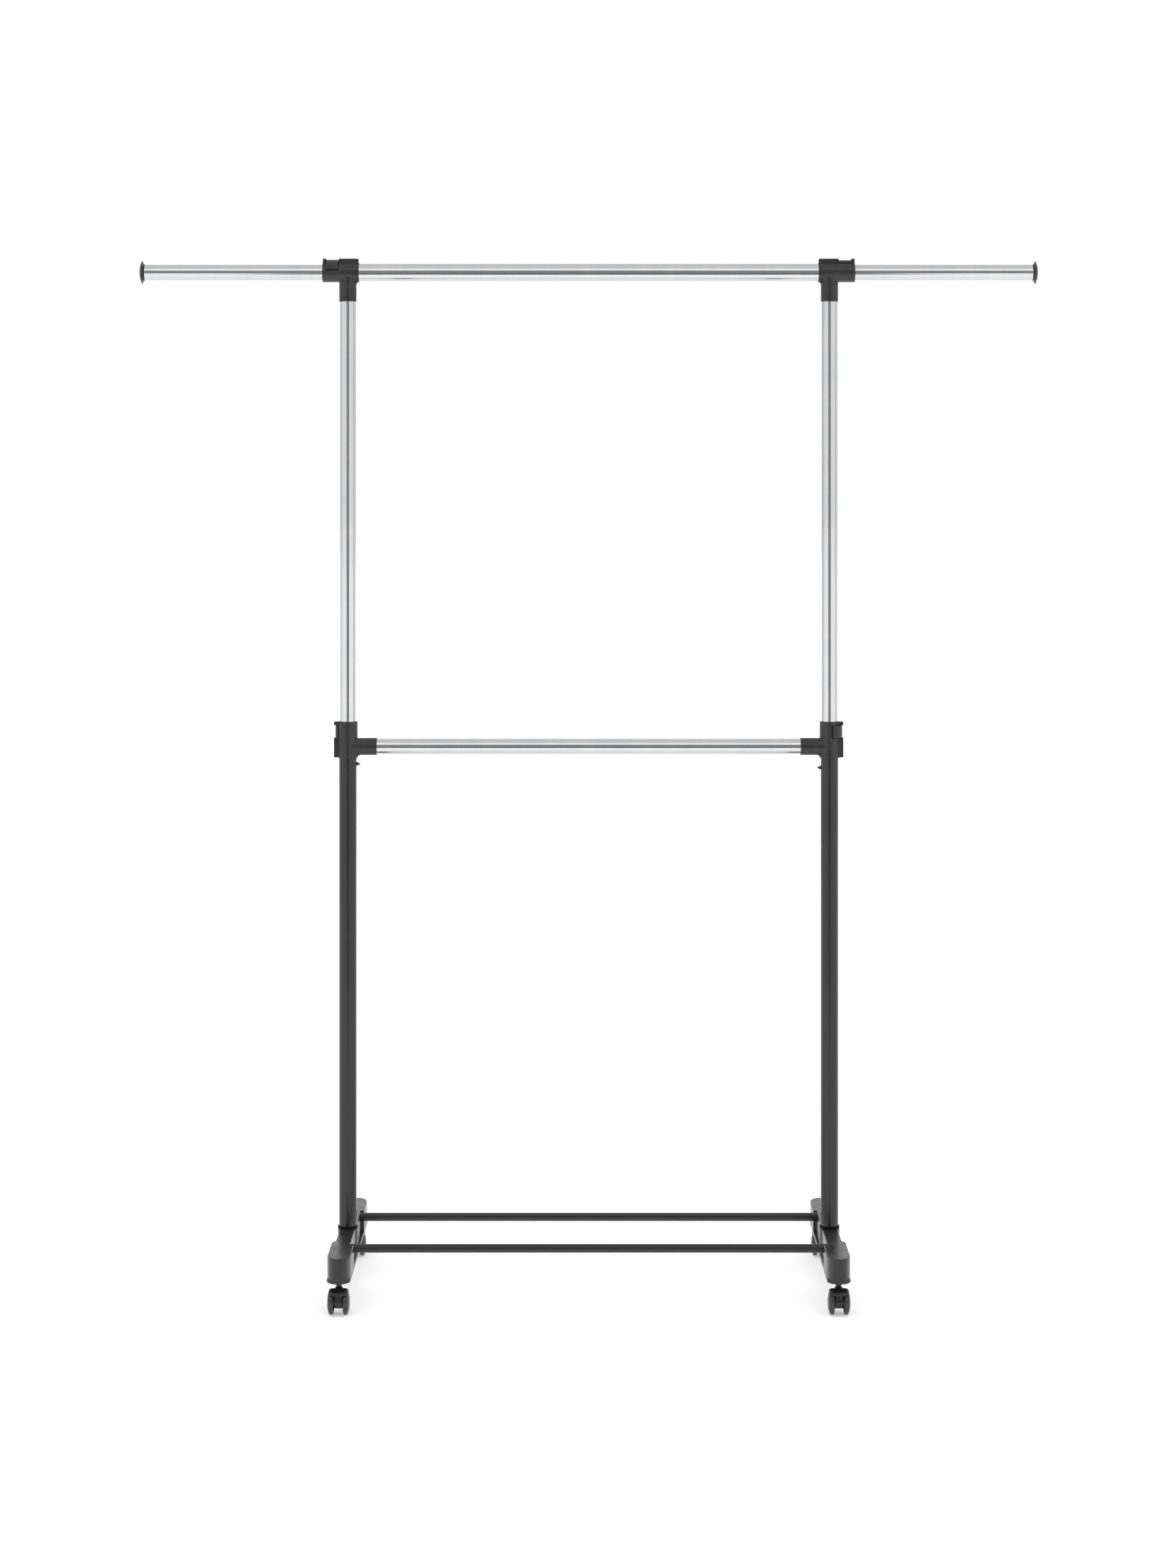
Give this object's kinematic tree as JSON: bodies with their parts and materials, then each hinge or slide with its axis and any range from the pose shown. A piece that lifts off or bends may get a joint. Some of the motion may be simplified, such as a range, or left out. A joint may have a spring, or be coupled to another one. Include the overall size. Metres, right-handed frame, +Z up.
{
  "type": "rolling clothes rack",
  "caption": "Rolling clothes rack with telescoping black and chrome uprights, an extendable top rail, a fixed lower rail and swivel casters.",
  "frame": {"origin": "on the floor, midway between the uprights, in the plane of the rails", "axes": "+Z up, X along the rails, +Y towards the back, so the pictured side faces -Y"},
  "size_m": [1.443, 0.4335, 1.6452],
  "materials": {
    "chrome": "bright chrome plate on steel tube",
    "powder_coat": "satin black powder coat on steel tube",
    "connector_moulding": "black moulded plastic, fine grain",
    "foot_moulding": "black moulded plastic, fine grain",
    "caster_moulding": "black moulded nylon",
    "wheel_plastic": "black nylon, worn at the tread",
    "zinc_steel": "zinc-plated steel",
    "black_steel": "blackened steel",
    "glide_plastic": "off-white plastic"
  },
  "bodies": {
    "base": {"left_foot": "foot_moulding", "left_lower_tube": "powder_coat", "left_mid_tee": "connector_moulding", "left_mid_lever_pin": "zinc_steel", "left_stop_stud": "connector_moulding", "left_front_rod_bolt": "zinc_steel", "left_front_caster_stem": "black_steel", "left_rear_rod_bolt": "zinc_steel", "left_rear_caster_stem": "black_steel", "right_foot": "foot_moulding", "right_lower_tube": "powder_coat", "right_mid_tee": "connector_moulding", "right_mid_lever_pin": "zinc_steel", "right_stop_stud": "connector_moulding", "right_front_rod_bolt": "zinc_steel", "right_front_caster_stem": "black_steel", "right_rear_rod_bolt": "zinc_steel", "right_rear_caster_stem": "black_steel", "front_rod": "powder_coat", "rear_rod": "powder_coat", "lower_rail": "chrome"},
    "upper_frame": {"top_rail": "chrome", "left_upper_tube": "chrome", "left_upright_glide": "glide_plastic", "left_upper_tee": "connector_moulding", "left_upper_lever_pin": "zinc_steel", "right_upper_tube": "chrome", "right_upright_glide": "glide_plastic", "right_upper_tee": "connector_moulding", "right_upper_lever_pin": "zinc_steel"},
    "left_extension": {"left_extension_tube": "chrome", "left_extension_glide": "glide_plastic", "left_end_cap": "connector_moulding"},
    "right_extension": {"right_extension_tube": "chrome", "right_extension_glide": "glide_plastic", "right_end_cap": "connector_moulding"},
    "left_mid_lever": {"left_mid_lever": "connector_moulding"},
    "left_upper_lever": {"left_upper_lever": "connector_moulding"},
    "right_mid_lever": {"right_mid_lever": "connector_moulding"},
    "right_upper_lever": {"right_upper_lever": "connector_moulding"},
    "left_front_swivel": {"left_front_caster_hood": "caster_moulding", "left_front_axle": "zinc_steel"},
    "left_front_outer_wheel": {"left_front_outer_wheel": "wheel_plastic"},
    "left_front_inner_wheel": {"left_front_inner_wheel": "wheel_plastic"},
    "left_rear_swivel": {"left_rear_caster_hood": "caster_moulding", "left_rear_axle": "zinc_steel"},
    "left_rear_outer_wheel": {"left_rear_outer_wheel": "wheel_plastic"},
    "left_rear_inner_wheel": {"left_rear_inner_wheel": "wheel_plastic"},
    "right_front_swivel": {"right_front_caster_hood": "caster_moulding", "right_front_axle": "zinc_steel"},
    "right_front_outer_wheel": {"right_front_outer_wheel": "wheel_plastic"},
    "right_front_inner_wheel": {"right_front_inner_wheel": "wheel_plastic"},
    "right_rear_swivel": {"right_rear_caster_hood": "caster_moulding", "right_rear_axle": "zinc_steel"},
    "right_rear_outer_wheel": {"right_rear_outer_wheel": "wheel_plastic"},
    "right_rear_inner_wheel": {"right_rear_inner_wheel": "wheel_plastic"}
  },
  "joints": [
    {"name": "height_adjust", "type": "slide", "parent": "base", "child": "upper_frame", "axis": [0, 0, 1], "range_m": [-0.67, 0]},
    {"name": "left_extension_slide", "type": "slide", "parent": "upper_frame", "child": "left_extension", "axis": [-1, 0, 0], "range_m": [-0.28, 0]},
    {"name": "right_extension_slide", "type": "slide", "parent": "upper_frame", "child": "right_extension", "axis": [1, 0, 0], "range_m": [-0.28, 0]},
    {"name": "left_mid_lever_hinge", "type": "hinge", "parent": "base", "child": "left_mid_lever", "pos_m": [-0.403, -0.003, 0.8855], "axis": [0, 0, 1], "range_deg": [0, 110]},
    {"name": "left_upper_lever_hinge", "type": "hinge", "parent": "upper_frame", "child": "left_upper_lever", "pos_m": [-0.4115, 0.003, 1.639], "axis": [-1, 0, 0], "range_deg": [0, 110]},
    {"name": "right_mid_lever_hinge", "type": "hinge", "parent": "base", "child": "right_mid_lever", "pos_m": [0.403, 0.003, 0.8855], "axis": [0, 0, 1], "range_deg": [0, 110]},
    {"name": "right_upper_lever_hinge", "type": "hinge", "parent": "upper_frame", "child": "right_upper_lever", "pos_m": [0.4115, -0.003, 1.639], "axis": [1, 0, 0], "range_deg": [0, 110]},
    {"name": "left_front_swivel_turn", "type": "hinge", "parent": "base", "child": "left_front_swivel", "pos_m": [-0.387, -0.1905, 0.034], "axis": [0, 0, 1], "continuous": true},
    {"name": "left_front_outer_wheel_spin", "type": "hinge", "parent": "left_front_swivel", "child": "left_front_outer_wheel", "pos_m": [-0.39945, -0.2, 0.0185], "axis": [1, 0, 0], "continuous": true},
    {"name": "left_front_inner_wheel_spin", "type": "hinge", "parent": "left_front_swivel", "child": "left_front_inner_wheel", "pos_m": [-0.37455, -0.2, 0.0185], "axis": [1, 0, 0], "continuous": true},
    {"name": "left_rear_swivel_turn", "type": "hinge", "parent": "base", "child": "left_rear_swivel", "pos_m": [-0.387, 0.1905, 0.034], "axis": [0, 0, 1], "continuous": true},
    {"name": "left_rear_outer_wheel_spin", "type": "hinge", "parent": "left_rear_swivel", "child": "left_rear_outer_wheel", "pos_m": [-0.39945, 0.181, 0.0185], "axis": [1, 0, 0], "continuous": true},
    {"name": "left_rear_inner_wheel_spin", "type": "hinge", "parent": "left_rear_swivel", "child": "left_rear_inner_wheel", "pos_m": [-0.37455, 0.181, 0.0185], "axis": [1, 0, 0], "continuous": true},
    {"name": "right_front_swivel_turn", "type": "hinge", "parent": "base", "child": "right_front_swivel", "pos_m": [0.387, -0.1905, 0.034], "axis": [0, 0, 1], "continuous": true},
    {"name": "right_front_outer_wheel_spin", "type": "hinge", "parent": "right_front_swivel", "child": "right_front_outer_wheel", "pos_m": [0.39945, -0.2, 0.0185], "axis": [1, 0, 0], "continuous": true},
    {"name": "right_front_inner_wheel_spin", "type": "hinge", "parent": "right_front_swivel", "child": "right_front_inner_wheel", "pos_m": [0.37455, -0.2, 0.0185], "axis": [1, 0, 0], "continuous": true},
    {"name": "right_rear_swivel_turn", "type": "hinge", "parent": "base", "child": "right_rear_swivel", "pos_m": [0.387, 0.1905, 0.034], "axis": [0, 0, 1], "continuous": true},
    {"name": "right_rear_outer_wheel_spin", "type": "hinge", "parent": "right_rear_swivel", "child": "right_rear_outer_wheel", "pos_m": [0.39945, 0.181, 0.0185], "axis": [1, 0, 0], "continuous": true},
    {"name": "right_rear_inner_wheel_spin", "type": "hinge", "parent": "right_rear_swivel", "child": "right_rear_inner_wheel", "pos_m": [0.37455, 0.181, 0.0185], "axis": [1, 0, 0], "continuous": true}
  ]
}
